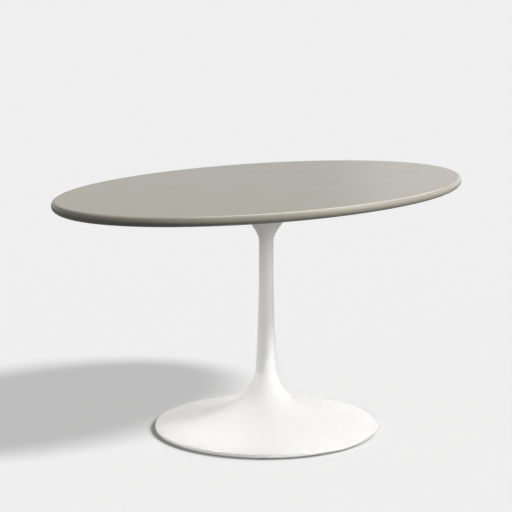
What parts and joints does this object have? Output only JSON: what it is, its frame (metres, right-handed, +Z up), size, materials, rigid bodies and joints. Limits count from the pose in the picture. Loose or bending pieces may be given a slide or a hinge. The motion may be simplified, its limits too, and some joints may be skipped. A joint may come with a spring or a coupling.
{
  "type": "oval pedestal table",
  "caption": "Oval dining table: lacquered slab top with a tucked-under edge on a slim tapered column and a wide trumpet foot that stands on levelling glides.",
  "frame": {"origin": "on the floor under the column's axis, which is the centre of the oval top's footprint", "axes": "+Z up, +X along the oval top's long axis, +Y along its short axis"},
  "size_m": [1.414, 0.883, 0.73],
  "materials": {
    "top_lacquer": "warm grey satin lacquer on fibreboard, grain hidden",
    "white_coat": "white satin powder coat on steel",
    "head_coat": "white satin powder coat on cast aluminium",
    "zinc_steel": "bright zinc plate",
    "bare_steel": "bare turned and welded steel",
    "brass_insert": "plain turned brass",
    "black_nylon": "moulded black nylon"
  },
  "bodies": {
    "table": {"table_top": "top_lacquer", "column_head": "head_coat", "column": "white_coat", "foot_shell": "white_coat", "base_plate": "white_coat", "core_tube": "bare_steel", "seat_ring": "bare_steel", "rod_boss": "bare_steel", "tie_rod": "zinc_steel", "head_nut": "zinc_steel", "head_washer": "zinc_steel", "top_screw_1": "zinc_steel", "top_screw_2": "zinc_steel", "top_screw_3": "zinc_steel", "top_screw_4": "zinc_steel", "top_screw_5": "zinc_steel", "top_screw_6": "zinc_steel", "top_insert_1": "brass_insert", "top_insert_2": "brass_insert", "top_insert_3": "brass_insert", "top_insert_4": "brass_insert", "top_insert_5": "brass_insert", "top_insert_6": "brass_insert"},
    "glide_1": {"glide_pad_1": "black_nylon"},
    "glide_1_screw": {"glide_stud_1": "zinc_steel"},
    "glide_2": {"glide_pad_2": "black_nylon"},
    "glide_2_screw": {"glide_stud_2": "zinc_steel"},
    "glide_3": {"glide_pad_3": "black_nylon"},
    "glide_3_screw": {"glide_stud_3": "zinc_steel"},
    "glide_4": {"glide_pad_4": "black_nylon"},
    "glide_4_screw": {"glide_stud_4": "zinc_steel"}
  },
  "joints": [
    {"name": "glide_1_travel", "type": "slide", "parent": "table", "child": "glide_1", "axis": [0, 0, -1], "range_m": [0, 0.003]},
    {"name": "glide_1_turn", "type": "hinge", "parent": "glide_1", "child": "glide_1_screw", "pos_m": [0.21234, 0.21234, 0.0045], "axis": [0, 0, -1], "range_deg": [0, 863.9]},
    {"name": "glide_2_travel", "type": "slide", "parent": "table", "child": "glide_2", "axis": [0, 0, -1], "range_m": [0, 0.003]},
    {"name": "glide_2_turn", "type": "hinge", "parent": "glide_2", "child": "glide_2_screw", "pos_m": [-0.21234, 0.21234, 0.0045], "axis": [0, 0, -1], "range_deg": [0, 863.9]},
    {"name": "glide_3_travel", "type": "slide", "parent": "table", "child": "glide_3", "axis": [0, 0, -1], "range_m": [0, 0.003]},
    {"name": "glide_3_turn", "type": "hinge", "parent": "glide_3", "child": "glide_3_screw", "pos_m": [-0.21234, -0.21234, 0.0045], "axis": [0, 0, -1], "range_deg": [0, 863.9]},
    {"name": "glide_4_travel", "type": "slide", "parent": "table", "child": "glide_4", "axis": [0, 0, -1], "range_m": [0, 0.003]},
    {"name": "glide_4_turn", "type": "hinge", "parent": "glide_4", "child": "glide_4_screw", "pos_m": [0.21234, -0.21234, 0.0045], "axis": [0, 0, -1], "range_deg": [0, 863.9]}
  ],
  "couplings": [
    {"joint": "glide_1_travel", "follows": "glide_1_turn", "m_per_rad": 0.00019894},
    {"joint": "glide_2_travel", "follows": "glide_2_turn", "m_per_rad": 0.00019894},
    {"joint": "glide_3_travel", "follows": "glide_3_turn", "m_per_rad": 0.00019894},
    {"joint": "glide_4_travel", "follows": "glide_4_turn", "m_per_rad": 0.00019894}
  ]
}
